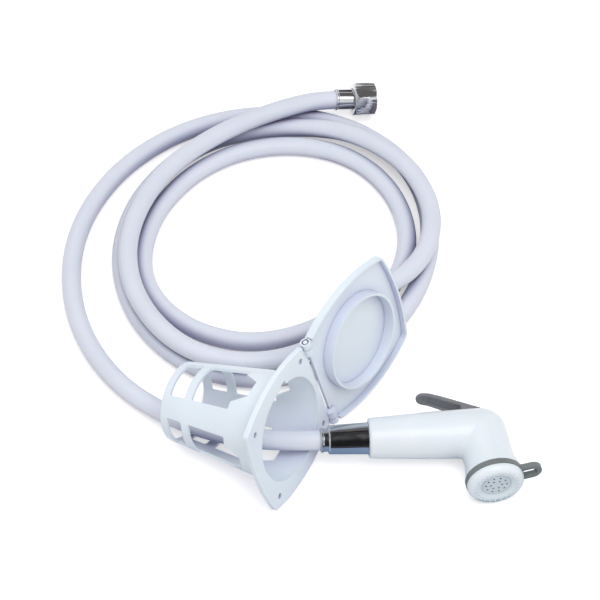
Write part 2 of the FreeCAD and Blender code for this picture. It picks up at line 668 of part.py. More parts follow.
def trigger_lever():
    """Return the press lever with its rounded tip and the scoop on its underside."""
    profile = Part.Face(lever_outline())
    profile.translate(Vector(0, 0, -LEVER_WIDTH / 2))
    lever = profile.extrude(Vector(0, 0, LEVER_WIDTH))
    half_width = LEVER_WIDTH / 2
    plan_end = Vector(LEVER_TIP.x + half_width, 0, 0)
    plan = rod(LEVER_WIDTH, plan_end, BEYOND, Y_AXIS)
    plan = plan.fuse(block(plan_end - Z_AXIS * half_width, Vector(BEYOND, BEYOND, half_width)))
    lever = lever.common(plan.removeSplitter())
    half = half_width - LEVER_SCOOP_WALL
    slope = (LEVER_BEND - LEVER_WAIST).normalize()
    inward = Vector(-slope.y, slope.x, 0)
    floor = LEVER_THICKNESS - LEVER_SCOOP_DEPTH
    near = LEVER_WAIST + slope * (LEVER_HEEL_REACH - 1) * 0.5 + inward * floor
    far = LEVER_BEND + inward * floor
    drop = inward * LEVER_THICKNESS
    scoop = Part.Face(Part.makePolygon([near, far, far + drop, near + drop, near]))
    scoop.translate(Vector(0, 0, -half))
    lever = lever.cut(scoop.extrude(Vector(0, 0, 2 * half)))
    bore = rod(LEVER_PIN + 2 * PIN_FIT, LEVER_PIVOT - Z_AXIS * LEVER_WIDTH, 2 * LEVER_WIDTH, Z_AXIS)
    return lever.cut(bore)


def lever_pin():
    """Return the pin that the lever turns on."""
    return rod(LEVER_PIN, LEVER_PIVOT - Z_AXIS * (LEVER_PIN_LENGTH / 2), LEVER_PIN_LENGTH, Z_AXIS)


def valve_cartridge():
    """Return the bush in the handle that guides the valve's push rod."""
    top = Vector(VALVE_X, SLOT_FLOOR - CARTRIDGE_TOP_GAP, 0)
    bush = pipe(CARTRIDGE, VALVE_ROD + 2 * VALVE_FIT, top, CARTRIDGE_LENGTH, Y_AXIS * -1)
    groove_start = top - Y_AXIS * (CARTRIDGE_LENGTH / 2 - O_RING / 2)
    groove = rod(VALVE_ROD + 2 * O_RING, groove_start, O_RING, Y_AXIS * -1)
    return bush.cut(groove)


def valve_plunger():
    """Return the push rod that the lever presses down."""
    start = Vector(VALVE_X, VALVE_TOP - VALVE_LENGTH, 0)
    stem = rod(VALVE_ROD, start, VALVE_LENGTH, Y_AXIS)
    head_start = Vector(VALVE_X, VALVE_TOP - VALVE_HEAD_LENGTH, 0)
    return stem.fuse(rod(VALVE_HEAD, head_start, VALVE_HEAD_LENGTH, Y_AXIS)).removeSplitter()


def plunger_seal():
    """Return the sealing ring in the cartridge's groove, round the push rod."""
    depth = CARTRIDGE_TOP_GAP + CARTRIDGE_LENGTH / 2 - O_RING / 2
    start = Vector(VALVE_X, SLOT_FLOOR - depth, 0)
    return pipe(VALVE_ROD + 2 * O_RING, VALVE_ROD + 2 * VALVE_FIT, start, O_RING, Y_AXIS * -1)


def facing(point, direction):
    """Return the placement at a point whose X axis runs along a direction and whose Y stays level."""
    yaw = math.degrees(math.atan2(direction.y, direction.x))
    climb = math.degrees(math.atan2(direction.z, math.hypot(direction.x, direction.y)))
    return Placement(point, Rotation(Z_AXIS, yaw) * Rotation(Y_AXIS, -climb))


def placed(shape, placement):
    """Return a copy of a shape moved from its own frame to where it lies."""
    moved = shape.copy()
    moved.Placement = placement * shape.Placement
    return moved


def assembly():
    """Return every named piece where it lies."""
    pieces = {}
    housing = box_housing()
    box = box_placement(housing)
    in_box = {"box_housing": housing, "hinge_pin_top": hinge_pin(-1), "hinge_pin_bottom": hinge_pin(1),
              "lid": open_lid(lid())}
    for name, shape in in_box.items():
        pieces[name] = placed(shape, box)
    points = [Vector(*point) for point in ROUTE]
    pieces["shower_hose"] = shower_hose()
    supply = facing(points[-1], points[-1] - points[-2])
    at_supply = {"supply_tail": tail(), "supply_sleeve": sleeve(SUPPLY_SLEEVE), "supply_washer": washer(),
                 "supply_nut": supply_nut()}
    for name, shape in at_supply.items():
        pieces[name] = placed(shape, supply)
    hose_end = facing(points[0], points[0] - points[1])
    pieces["handset_tail"] = placed(tail(), hose_end)
    pieces["handset_sleeve"] = placed(sleeve(HEAD_SLEEVE), hose_end)
    handle = Rotation(Z_AXIS, HANDLE_YAW) * Rotation(Y_AXIS, HANDLE_DIP)
    at_head_end = Placement(points[0], handle)
    pieces["cone_nut"] = placed(cone_nut(), at_head_end)
    pieces["cone_washer"] = placed(washer(), at_head_end)
    elbow = Placement(points[0] + handle.multVec(X_AXIS * HOSE_END_TO_ELBOW), handle)
    in_handset = {"handset_body": handset_body(), "hanging_ring": hanging_ring(), "spray_face": spray_face(),
                  "nozzle_plate": nozzle_plate(), "face_seal": face_seal(), "trigger_lever": trigger_lever(),
                  "lever_pin": lever_pin(), "valve_cartridge": valve_cartridge(),
                  "valve_plunger": valve_plunger(), "plunger_seal": plunger_seal()}
    for name, shape in in_handset.items():
        pieces[name] = placed(shape, elbow)
    return pieces


def main():
    """Build every piece and write each one to its own file."""
    os.makedirs("parts", exist_ok=True)
    for name, shape in assembly().items():
        shape.Solids[0].exportStep(os.path.join("parts", name + ".step"))


main()
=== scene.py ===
"""Dressed model of the exterior shower box: its finishes, rounded mouldings, hose, floor, light and camera.

All lengths are in metres and all angles in degrees. +Z is up and the floor lies at zero.
"""
import json
import math

import bpy
from mathutils import Matrix, Vector


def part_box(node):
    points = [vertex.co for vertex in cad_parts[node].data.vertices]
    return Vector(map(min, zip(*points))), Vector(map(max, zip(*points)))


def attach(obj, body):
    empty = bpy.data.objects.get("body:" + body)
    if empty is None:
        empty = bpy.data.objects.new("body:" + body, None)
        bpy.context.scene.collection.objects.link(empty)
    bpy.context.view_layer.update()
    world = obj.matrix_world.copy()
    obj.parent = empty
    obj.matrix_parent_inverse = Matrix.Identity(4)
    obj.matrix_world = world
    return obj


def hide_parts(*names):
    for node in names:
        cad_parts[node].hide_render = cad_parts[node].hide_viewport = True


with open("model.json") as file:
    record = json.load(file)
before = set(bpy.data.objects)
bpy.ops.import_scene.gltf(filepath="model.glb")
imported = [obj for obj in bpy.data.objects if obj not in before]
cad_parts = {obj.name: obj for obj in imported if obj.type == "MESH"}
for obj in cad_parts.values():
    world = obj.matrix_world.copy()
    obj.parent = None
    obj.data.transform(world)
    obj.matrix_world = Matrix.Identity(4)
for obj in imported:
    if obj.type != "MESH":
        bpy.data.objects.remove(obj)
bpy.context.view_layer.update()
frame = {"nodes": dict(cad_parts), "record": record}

# Camera, which looks down at the shower from the front with a long lens
CAMERA_AIM = Vector((-0.0344, 0.1172, 0.0))
CAMERA_HEIGHT_ANGLE = 49.85
CAMERA_DISTANCE = 1.815
CAMERA_LENS = 150.24
CAMERA_SENSOR = 36.0

# Light: the white backdrop, the sky that lights the shower, and two soft lamps (place, size and power)
WHITE = (1, 1, 1, 1)
SKY_COLOUR = (0.93, 0.95, 1.0, 1)
SKY_STRENGTH = 0.6
LAMP_TARGET = (-0.03, 0.1, 0)
LAMPS = {"key_light": ((0.3, -0.6, 1.65), 1.2, 14.0), "top_light": ((-0.5, 0.1, 1.7), 1.4, 5.0)}

# Floor, which is lifted a little so that it shows as white
FLOOR_SIZE = 12
FLOOR_COLOUR = (0.88, 0.86, 0.84, 1)
FLOOR_LIFT = 0.45

# Cards that the polished metal mirrors. The bent ones hang over the two nuts: middle, width, first and last
# height angle counted from the front, and colour. The flat ones lie on the floor: near edge, far edge,
# middle, width and colour.
CARD_BLACK = (0.012, 0.012, 0.014, 1)
CARD_GREY = (0.24, 0.22, 0.21, 1)
CARD_BLUE = (0.27, 0.37, 0.53, 1)
CARD_PLUM = (0.2, 0.17, 0.22, 1)
CARD_RADIUS = 1.15
CARD_LIFT = 0.002
BENT_CARDS = {
    "cone_card": ((-0.1, -0.027, 0.002), 0.8, 0, 114, CARD_BLACK),
    "supply_card_over": ((0.46, 0.307, 0.0), 1.08, 78, 127, CARD_GREY),
    "supply_card_behind": ((0.31, 0.307, 0.0), 0.38, 137, 178, CARD_BLACK),
}
FLAT_CARDS = {
    "front_card": (-1.2, -0.11, -0.12, 0.75, CARD_BLACK),
    "cone_floor_card": (-0.11, -0.02, 0, 0.4, CARD_BLUE),
    "supply_floor_card": (0.2, 0.3, 0.035, 0.11, CARD_PLUM),
}

# Hose and the points of its route, from the shower head through the box to the supply end
HOSE = 0.014
MILLIMETRE = 0.001
ROUTE = [
    (-2, -26.2, 23.2), (-38, -29.2, 24.4), (-80, -20.5, 17.5), (-124, 2, 10), (-164, 35, 7),
    (-192, 82, 7), (-203, 137, 7), (-196, 192, 7), (-168, 245, 7), (-121, 284, 7),
    (-62, 300, 7), (-4, 290, 7), (41, 256, 7), (62, 206, 7), (61, 152, 7),
    (44, 104, 7), (14, 68, 7), (-14, 48.5, 7), (-46, 40.5, 7), (-80, 39, 7),
    (-111, 50, 7), (-138, 74, 7), (-158, 108, 7), (-167, 152, 7), (-160, 198, 7),
    (-139, 237, 7), (-108, 268, 7), (-71, 281, 7), (-31, 282, 10), (6, 267, 20),
    (43, 237, 21.5), (62, 196, 21.5), (62, 158, 21.5), (47, 126.5, 21.5), (16.5, 102.5, 24),
    (-21, 82, 9), (-66, 69.5, 7), (-106, 79.5, 7), (-134.5, 103, 7), (-149.5, 135, 7),
    (-149, 170, 7), (-138, 205, 7), (-112, 240, 7), (-75, 262, 7), (-31, 266, 7),
    (8, 251.5, 7), (35.5, 218, 7), (46, 176, 7), (41, 143, 7), (26.5, 113.5, 7),
    (10, 85.8, 7), (-15, 62, 18.5), (-52, 42, 21.7), (-93, 43, 21.5), (-127.5, 64, 21.5),
    (-152, 101, 21.5), (-161, 142, 21), (-156, 182, 21), (-139, 221, 21), (-113, 250, 21.5),
    (-79, 274, 22.8), (-36, 294, 23), (-10, 303.5, 18), (12, 307, 14.6),
]

# Fineness of the round pieces: corners round a pin, a drill and a bent card, how fine the hose is round its
# line, and its steps from one point of the route to the next
PIN_CORNERS = 48
DRILL_CORNERS = 20
CARD_CORNERS = 90
HOSE_ROUNDNESS = 10
HOSE_STEPS = 14

# Rounding of the moulded and turned edges, and the angle past which an edge counts as sharp
MOULDED_EDGE = 0.00045
TURNED_EDGE = 0.00025
SHARP_ANGLE = 32.0
WELD = 0.000004

# Finishes: the softened edge, the height of the finest grain, and the middle of a pattern that is spread out
SOFT_EDGE = 0.0004
FINE_GRAIN = 0.0001
PATTERN_LOW = 0.3
PATTERN_HIGH = 0.7

# Painted shade of what is shut in: how far the painted shade of seams, hollows and the dish of the spray face
# reaches, and the shares of open air at which a seam's painted shade is full and gone
SEAM_SHADE_REACH = 0.0045
HOLLOW_SHADE_REACH = 0.025
DISH_SHADE_REACH = 0.012
SEAM_SHUT = 0.15
SEAM_CLEAR = 0.6

# Hinge pins, whose outer ends are turned down so that a groove shows round them. A face looks along the
# pin where that part of its normal is past the last value.
PIN_RADIUS = 0.0024
PIN_LENGTH = 0.0105
GROOVE_WIDTH = 0.0007
GROOVE_DEPTH = 0.0025
FACES_UP = 0.9

# Thread in the union nut, measured from the end of the hose along its outward direction
SUPPLY_END = Vector(ROUTE[-1]) * MILLIMETRE
SUPPLY_DIRECTION = (Vector(ROUTE[-1]) - Vector(ROUTE[-2])).normalized()
THREAD_RADIUS = 0.0095
THREAD_START = 0.0048
THREAD_PITCH = 0.0014
THREAD_TURNS = 4
THREAD_STEPS = 40
THREAD_DEPTH = 0.0006

# Handset frame: its origin is at the elbow, X runs along the handle and the spray axis turns from it
HANDSET_START = Vector(ROUTE[0]) * MILLIMETRE
HANDLE_YAW = 4.6
HANDLE_DIP = 1.907
HANDLE_REACH = 0.092
SPRAY_TURN = -84.1

# Head of the handset along the spray axis: neck, hanging ring with its loop turned on the neck, and face
NECK = 0.0365
RING_LENGTH = 0.004
LOOP_TURN = 9.0
FACE_HEIGHT = 0.006

# Small domes on the face's rim, and the rings of spray holes as (radius, count)
BUMP_COUNT = 24
BUMP_RADIUS = 0.0008
BUMP_CIRCLE = 0.0145
BUMP_SHAPE = (1.3, 1, 0.55)
BUMP_SHARP_ANGLE = 60
NOZZLE_RINGS = ((0.0039, 6), (0.0072, 10))
NOZZLE_RADIUS = 0.00068

# Soft places of the handset, in the handset's frame: the scoop under the lever's tip and the handle's crook
SCOOP_PLACE = (-0.037, 0.0305)
SCOOP_REACH = 0.0115
CROOK_PLACE = (-0.0155, -0.0185)
CROOK_REACH = 0.013
LEVER_VOXEL = 0.0003
CROOK_VOXEL = 0.0006
SOFT_TURNS = 60
SOFT_FACTOR = 0.9
EVEN_TURNS = 3
EVEN_FACTOR = 0.5
SKIN_SHARP_ANGLE = 42.0


def linear(red, green, blue):
    """Return the shader colour for a colour written in 0 to 255 steps."""
    steps = []
    for value in (red, green, blue):
        share = value / 255
        steps.append(share / 12.92 if share <= 0.04045 else ((share + 0.055) / 1.055) ** 2.4)
    return (*steps, 1.0)


class Finish:
    """One procedural material: a Principled shader with patterns on Object coordinates."""

    def __init__(self, name):
        self.material = bpy.data.materials.new(name)
        self.material.use_nodes = True
        self.tree = self.material.node_tree
        self.shader = self.tree.nodes["Principled BSDF"]
        self.place = self.tree.nodes.new("ShaderNodeTexCoord").outputs["Object"]

    def set(self, **values):
        """Set sockets of the shader that are the same all over the surface."""
        for name, value in values.items():
            self.shader.inputs[name.replace("_", " ")].default_value = value
        return self

    def noise(self, scale, detail=3.0, roughness=0.5, stretch=(1, 1, 1)):
        """Return the height of a noise pattern, stretched along the axes."""
        mapping = self.tree.nodes.new("ShaderNodeMapping")
        mapping.inputs["Scale"].default_value = stretch
        self.tree.links.new(self.place, mapping.inputs["Vector"])
        noise = self.tree.nodes.new("ShaderNodeTexNoise")
        noise.inputs["Scale"].default_value = scale
        noise.inputs["Detail"].default_value = detail
        noise.inputs["Roughness"].default_value = roughness
        self.tree.links.new(mapping.outputs["Vector"], noise.inputs["Vector"])
        return noise.outputs["Fac"]

    def ranged(self, value, low, high):
        """Return a pattern's middle range spread between two values."""
        spread = self.tree.nodes.new("ShaderNodeMapRange")
        spread.inputs["From Min"].default_value = PATTERN_LOW
        spread.inputs["From Max"].default_value = PATTERN_HIGH
        spread.inputs["To Min"].default_value = low
        spread.inputs["To Max"].default_value = high
        self.tree.links.new(value, spread.inputs["Value"])
        return spread.outputs["Result"]

    def colour(self, pattern, first, second):
        """Colour the surface between two close colours by a pattern."""
        ramp = self.tree.nodes.new("ShaderNodeValToRGB")
        ramp.color_ramp.elements[0].position = PATTERN_LOW
        ramp.color_ramp.elements[1].position = PATTERN_HIGH
        ramp.color_ramp.elements[0].color = first
        ramp.color_ramp.elements[1].color = second
        self.tree.links.new(pattern, ramp.inputs["Fac"])
        self.tree.links.new(ramp.outputs["Color"], self.shader.inputs["Base Color"])
        return self

    def paint_shade(self, shade, reach, shut=SEAM_SHUT, clear=SEAM_CLEAR):
        """Paint shade into the surface's colour where it is shut in within a reach.

        The painted shade is full where the share of open air is at shut, and gone where it is at clear.
        """
        close =self.tree.nodes.new("ShaderNodeAmbientOcclusion")
        close.samples = 8
        close.inputs["Distance"].default_value = reach
        open_share = self.tree.nodes.new("ShaderNodeMapRange")
        open_share.inputs["From Min"].default_value = shut
        open_share.inputs["From Max"].default_value = clear
        self.tree.links.new(close.outputs["AO"], open_share.inputs["Value"])
        mix = self.tree.nodes.new("ShaderNodeMix")
        mix.data_type = "RGBA"
        mix.inputs["A"].default_value = shade
        base = self.shader.inputs["Base Color"]
        self.tree.links.new(open_share.outputs["Result"], mix.inputs["Factor"])
        self.tree.links.new(base.links[0].from_socket, mix.inputs["B"])
        self.tree.links.new(mix.outputs["Result"], base)
        return self

    def roughness(self, pattern, low, high):
        """Vary the surface's roughness by a pattern."""
        self.tree.links.new(self.ranged(pattern, low, high), self.shader.inputs["Roughness"])
        return self

    def relief(self, edge, *layers):
        """Soften edges by a radius and raise the surface by (pattern, strength, height) layers."""
        soft_edge = self.tree.nodes.new("ShaderNodeBevel")
        soft_edge.samples = 4
        soft_edge.inputs["Radius"].default_value = edge
        normal = soft_edge.outputs["Normal"]
        for pattern, strength, height in layers:
            bump = self.tree.nodes.new("ShaderNodeBump")
            bump.inputs["Strength"].default_value = strength
            bump.inputs["Distance"].default_value = height
            self.tree.links.new(pattern, bump.inputs["Height"])
            self.tree.links.new(normal, bump.inputs["Normal"])
            normal = bump.outputs["Normal"]
        self.tree.links.new(normal, self.shader.inputs["Normal"])
        return self


def box_moulding():
    """Return the cool white plastic of the box and its lid, with painted shade in its hollows and seams."""
    finish = Finish("box_moulding").set(Specular_IOR_Level=0.45, Subsurface_Weight=0.08, Subsurface_Scale=0.004)
    finish.colour(finish.noise(28, 2), linear(225, 234, 241), linear(230, 239, 245))
    # Painted shade: the colour turns lavender in hollows and dark grey-blue in seams and gaps.
    finish.paint_shade(linear(206, 210, 231), HOLLOW_SHADE_REACH, 0.25, 0.85)
    finish.paint_shade(linear(84, 88, 114), SEAM_SHADE_REACH)
    finish.roughness(finish.noise(60, 4), 0.3, 0.38)
    grain = (finish.noise(1500, 2), 0.06, FINE_GRAIN)
    waves = (finish.noise(45, 2), 0.05, 0.0004)
    return finish.relief(SOFT_EDGE, grain, waves).material


def hose_wall():
    """Return the lilac white, slightly satin plastic of the hose, with painted shade at its sides and between
    strands.
    """
    finish = Finish("hose_wall").set(Specular_IOR_Level=0.4, Subsurface_Weight=0.1, Subsurface_Scale=0.003)
    finish.colour(finish.noise(16, 3), linear(215, 219, 229), linear(221, 224, 234))
    # Painted shade: the hose darkens at its sides near the floor and other strands, and to dark lines where
    # strands touch.
    finish.paint_shade(linear(150, 152, 182), HOLLOW_SHADE_REACH, 0.15, 0.85)
    finish.paint_shade(linear(104, 92, 122), SEAM_SHADE_REACH)
    finish.roughness(finish.noise(90, 3), 0.36, 0.48)
    grain = (finish.noise(900, 3), 0.07, FINE_GRAIN)
    waves = (finish.noise(55, 2), 0.06, 0.0005)
    return finish.relief(SOFT_EDGE, grain, waves).material


def handle_moulding():
    """Return the glossy white plastic of the handle and of the small domes on the spray face."""
    finish = Finish("handle_moulding")
    finish.set(Specular_IOR_Level=0.5, Subsurface_Weight=0.1, Subsurface_Scale=0.004)
    finish.colour(finish.noise(22, 2), linear(224, 231, 235), linear(229, 235, 239))
    # Painted shade: the colour turns blue-grey in hollows such as the crook and the face's recess, and grey in
    # seams.
    finish.paint_shade(linear(196, 210, 220), HOLLOW_SHADE_REACH, 0.25, 0.8)
    finish.paint_shade(linear(126, 130, 142), SEAM_SHADE_REACH)
    finish.roughness(finish.noise(50, 4), 0.29, 0.36)
    grain = (finish.noise(1300, 2), 0.05, FINE_GRAIN)
    waves = (finish.noise(30, 2), 0.04, 0.0005)
    return finish.relief(SOFT_EDGE, grain, waves).material


def face_moulding():
    """Return the handle's white plastic for the dished spray face, with painted shade in the dish and round the
    domes.
    """
    finish = Finish("face_moulding").set(Specular_IOR_Level=0.5, Subsurface_Weight=0.1, Subsurface_Scale=0.004)
    finish.colour(finish.noise(26, 2), linear(226, 233, 237), linear(231, 237, 241))
    # Painted shade: the dish darkens towards grey-green, and the colour darkens round the foot of each dome.
    finish.paint_shade(linear(160, 180, 188), DISH_SHADE_REACH, 0.72, 0.99)
    finish.paint_shade(linear(126, 130, 142), BUMP_RADIUS)
    finish.roughness(finish.noise(50, 4), 0.29, 0.36)
    return finish.relief(SOFT_EDGE, (finish.noise(1300, 2), 0.05, FINE_GRAIN)).material


def plate_moulding():
    """Return the duller plastic of the nozzle plate, darker and greener than the face round it."""
    finish = Finish("plate_moulding").set(Specular_IOR_Level=0.4)
    finish.colour(finish.noise(60, 2), linear(198, 211, 217), linear(208, 219, 224))
    # Painted shade: dark in the spray holes and round the plate's edge.
    finish.paint_shade(linear(70, 76, 84), SEAM_SHADE_REACH)
    finish.roughness(finish.noise(160, 3), 0.4, 0.5)
    return finish.relief(SOFT_EDGE, (finish.noise(1400, 2), 0.06, FINE_GRAIN)).material


def lever_moulding():
    """Return the dark grey satin plastic of the lever."""
    finish = Finish("lever_moulding").set(Specular_IOR_Level=0.5)
    finish.colour(finish.noise(70, 4), linear(114, 115, 120), linear(124, 125, 129))
    finish.roughness(finish.noise(120, 4), 0.4, 0.52)
    grain = (finish.noise(2200, 3), 0.22, FINE_GRAIN)
    waves = (finish.noise(300, 2), 0.08, 0.0002)
    return finish.relief(SOFT_EDGE, grain, waves).material


def ring_moulding():
    """Return the mid grey satin plastic of the hanging ring."""
    finish = Finish("ring_moulding").set(Specular_IOR_Level=0.45)
    finish.colour(finish.noise(60, 4), linear(110, 116, 115), linear(120, 126, 124))
    finish.roughness(finish.noise(120, 4), 0.42, 0.55)
    return finish.relief(SOFT_EDGE, (finish.noise(2000, 3), 0.18, FINE_GRAIN)).material


def mirror_plating():
    """Return the bright plating of the nuts and sleeves."""
    finish = Finish("mirror_plating").set(Metallic=1.0)
    finish.colour(finish.noise(80, 3), linear(196, 198, 203), linear(210, 212, 216))
    finish.roughness(finish.noise(240, 4), 0.05, 0.12)
    grain = (finish.noise(420, 3), 0.02, FINE_GRAIN)
    waves = (finish.noise(120, 2), 0.008, 0.0002)
    return finish.relief(SOFT_EDGE, grain, waves).material


def turned_brass():
    """Return the bare turned brass of the hose tails and the valve bush."""
    finish = Finish("turned_brass").set(Metallic=1.0)
    finish.colour(finish.noise(90, 4), linear(182, 152, 92), linear(202, 174, 112))
    finish.roughness(finish.noise(200, 4), 0.29, 0.4)
    return finish.relief(SOFT_EDGE, (finish.noise(700, 2, stretch=(1, 6, 6)), 0.15, FINE_GRAIN)).material


def drawn_steel():
    """Return the drawn steel of the lever's pin and the push rod."""
    finish = Finish("drawn_steel").set(Metallic=1.0)
    finish.colour(finish.noise(120, 3), linear(168, 170, 172), linear(186, 188, 190))
    finish.roughness(finish.noise(400, 4, stretch=(5, 5, 1)), 0.29, 0.38)
    return finish.relief(SOFT_EDGE, (finish.noise(900, 2, stretch=(5, 5, 1)), 0.1, FINE_GRAIN)).material


def seal_rubber():
    """Return the matt black rubber of the washers and seals."""
    finish = Finish("seal_rubber").set(Specular_IOR_Level=0.3)
    finish.colour(finish.noise(150, 4), linear(34, 34, 37), linear(46, 46, 49))
    finish.roughness(finish.noise(300, 4), 0.62, 0.78)
    return finish.relief(SOFT_EDGE, (finish.noise(1600, 3), 0.25, FINE_GRAIN)).material


FINISHES = {
    "box_plastic": box_moulding(), "pin_plastic": box_moulding(), "hose_plastic": hose_wall(),
    "plated_metal": mirror_plating(), "tail_brass": turned_brass(), "washer_rubber": seal_rubber(),
    "handle_plastic": handle_moulding(), "lever_plastic": lever_moulding(), "ring_plastic": ring_moulding(),
    "steel": drawn_steel(),
}
PLATE_FINISH = plate_moulding()
FACE_FINISH = face_moulding()
SLOT_OF_NODE = {subpart["node"]: subpart["material_slot"] for subpart in frame["record"]["subparts"]}
BODY_OF_NODE = {node: body for body, nodes in frame["record"]["behaviour"]["bodies"].items() for node in nodes}


def select_only(piece):
    """Make a piece the only selected object, ready for an operator."""
    bpy.ops.object.select_all(action="DESELECT")
    piece.select_set(True)
    bpy.context.view_layer.objects.active = piece


def apply_modifiers(piece):
    """Apply a piece's modifiers in their order."""
    select_only(piece)
    for name in [modifier.name for modifier in piece.modifiers]:
        bpy.ops.object.modifier_apply(modifier=name)


def give_finish(piece, material):
    """Give a piece one material all over."""
    piece.data.materials.clear()
    piece.data.materials.append(material)


def merged_copy(node, name):
    """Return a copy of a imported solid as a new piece, with its loose triangles merged."""
    piece = bpy.data.objects.new(name, frame["nodes"][node].data.copy())
    bpy.context.scene.collection.objects.link(piece)
    select_only(piece)
    bpy.ops.mesh.customdata_custom_splitnormals_clear()
    bpy.ops.object.mode_set(mode="EDIT")
    bpy.ops.mesh.select_all(action="SELECT")
    bpy.ops.mesh.remove_doubles(threshold=WELD)
    bpy.ops.object.mode_set(mode="OBJECT")
    return piece


def rounded_moulding(node, width, segments=3, material=None):
    """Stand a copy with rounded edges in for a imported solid."""
    piece = merged_copy(node, node + "_rounded")
    bevel = piece.modifiers.new("rounded_edges", "BEVEL")
    bevel.width = width
    bevel.segments = segments
    bevel.limit_method = "ANGLE"
    bevel.angle_limit = math.radians(SHARP_ANGLE)
    bevel.use_clamp_overlap = False
    bevel.miter_outer = "MITER_ARC"
    bevel.harden_normals = True
    apply_modifiers(piece)
    bpy.ops.object.shade_smooth_by_angle(angle=math.radians(SHARP_ANGLE))
    slot = SLOT_OF_NODE[node]
    give_finish(piece, material or FINISHES[slot])
    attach(piece, BODY_OF_NODE[node])
    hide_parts(node)
    return piece


def select_faces(piece, wanted):
    """Select a piece's faces that pass a test, and nothing else of it."""
    bpy.context.tool_settings.mesh_select_mode = (False, False, True)
    for face in piece.data.polygons:
        face.select = wanted(face)


def set_in_place(piece, place):
    """Move a piece to its place and write that place into its mesh."""
    piece.matrix_world = place
    select_only(piece)
    bpy.ops.object.transform_apply(location=True, rotation=True, scale=True)


def fit(piece, body, slot, *nodes):
    """Finish a new piece and let it ride on a body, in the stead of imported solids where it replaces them."""
    give_finish(piece, FINISHES[slot])
    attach(piece, body)
    if nodes:
        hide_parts(*nodes)


def hinge_pin(node, other):
    """Turn a hinge pin with a thinner outer end, so that a groove shows round it in the ear."""
    middle = sum((Vector(corner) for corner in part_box(node)), Vector()) / 2
    opposite = sum((Vector(corner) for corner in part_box(other)), Vector()) / 2
    outward = (middle - opposite).normalized()
    bpy.ops.object.select_all(action="DESELECT")
    bpy.ops.mesh.primitive_cylinder_add(vertices=PIN_CORNERS, radius=PIN_RADIUS,
                                        depth=PIN_LENGTH - GROOVE_DEPTH)
    piece = bpy.context.active_object
    piece.name = node + "_turned"
    select_faces(piece, lambda face: face.normal.z > FACES_UP)
    bpy.ops.object.mode_set(mode="EDIT")
    bpy.ops.mesh.inset(thickness=GROOVE_WIDTH)
    bpy.ops.mesh.extrude_region_move(TRANSFORM_OT_translate={"value": (0, 0, GROOVE_DEPTH)})
    bpy.ops.object.mode_set(mode="OBJECT")
    rounded = piece.modifiers.new("rounded_edges", "BEVEL")
    rounded.width = TURNED_EDGE
    rounded.segments = 2
    rounded.limit_method = "ANGLE"
    apply_modifiers(piece)
    turn = outward.to_track_quat("Z", "Y").to_matrix().to_4x4()
    set_in_place(piece, Matrix.Translation(middle - outward * GROOVE_DEPTH / 2) @ turn)
    bpy.ops.object.shade_smooth_by_angle(angle=math.radians(SHARP_ANGLE))
    fit(piece, BODY_OF_NODE[node], SLOT_OF_NODE[node], node)


def handset_place():
    """Return the handset's frame: its origin at the elbow, X along the handle, Y to the lever's side."""
    turn = Matrix.Rotation(math.radians(HANDLE_YAW), 4, "Z") @ Matrix.Rotation(math.radians(HANDLE_DIP), 4, "Y")
    return Matrix.Translation(HANDSET_START) @ turn @ Matrix.Translation((HANDLE_REACH, 0, 0))


def spray_place():
    """Return the spray face's frame: its origin at the elbow and X along the spray axis."""
    return handset_place() @ Matrix.Rotation(math.radians(SPRAY_TURN), 4, "Z")


def soft_skin(node, name, voxel, middle, reach):
    """Stand one even skin in for a moulding of the handset, drawn soft round one place of its side view."""
    piece = merged_copy(node, name)
    skin = piece.modifiers.new("one_skin", "REMESH")
    skin.mode = "VOXEL"
    skin.voxel_size = voxel
    apply_modifiers(piece)
    soft_part = piece.vertex_groups.new(name="soft_part")
    away = handset_place().inverted()
    for vertex in piece.data.vertices:
        place = away @ vertex.co
        distance = (Vector((place.x, place.y)) - Vector(middle)).length
        soft_part.add([vertex.index], max(0.0, 1 - distance / reach), "REPLACE")
    soften = piece.modifiers.new("soft_part", "SMOOTH")
    soften.vertex_group = "soft_part"
    soften.factor = SOFT_FACTOR
    soften.iterations = SOFT_TURNS
    even = piece.modifiers.new("even_skin", "SMOOTH")
    even.factor = EVEN_FACTOR
    even.iterations = EVEN_TURNS
    apply_modifiers(piece)
    bpy.ops.object.shade_smooth_by_angle(angle=math.radians(SKIN_SHARP_ANGLE))
    fit(piece, BODY_OF_NODE[node], SLOT_OF_NODE[node], node)


def turned_ring():
    """Turn the rounded hanging ring on the neck until its loop stands as high as in use."""
    piece = rounded_moulding("hanging_ring", MOULDED_EDGE)
    place = spray_place()
    turn = place @ Matrix.Rotation(math.radians(LOOP_TURN), 4, "X") @ place.inverted()
    piece.data.transform(turn)


def joined(pieces):
    """Join pieces into the last of them and return it."""
    for piece in pieces:
        piece.select_set(True)
    bpy.ops.object.join()
    return bpy.context.active_object


def drilled_plate():
    """Open the nozzle plate's spray holes to the width that shows."""
    piece = merged_copy("nozzle_plate", "nozzle_plate_drilled")
    middle = NECK + RING_LENGTH + FACE_HEIGHT / 2
    drills = []
    for radius, count in NOZZLE_RINGS:
        for index in range(count):
            angle = 2 * math.pi * index / count
            bpy.ops.object.select_all(action="DESELECT")
            bpy.ops.mesh.primitive_cylinder_add(vertices=DRILL_CORNERS, radius=NOZZLE_RADIUS, depth=FACE_HEIGHT)
            drill = bpy.context.active_object
            on_ring = Matrix.Translation((middle, radius * math.cos(angle), radius * math.sin(angle)))
            set_in_place(drill, spray_place() @ on_ring @ Matrix.Rotation(math.pi / 2, 4, "Y"))
            drills.append(drill)
    cutter = joined(drills)
    holes =piece.modifiers.new("spray_holes", "BOOLEAN")
    holes.operation = "DIFFERENCE"
    holes.object = cutter
    apply_modifiers(piece)
    bpy.data.objects.remove(cutter)
    bpy.ops.object.shade_smooth_by_angle(angle=math.radians(SHARP_ANGLE))
    fit(piece, BODY_OF_NODE["nozzle_plate"], SLOT_OF_NODE["nozzle_plate"], "nozzle_plate")
    give_finish(piece, PLATE_FINISH)


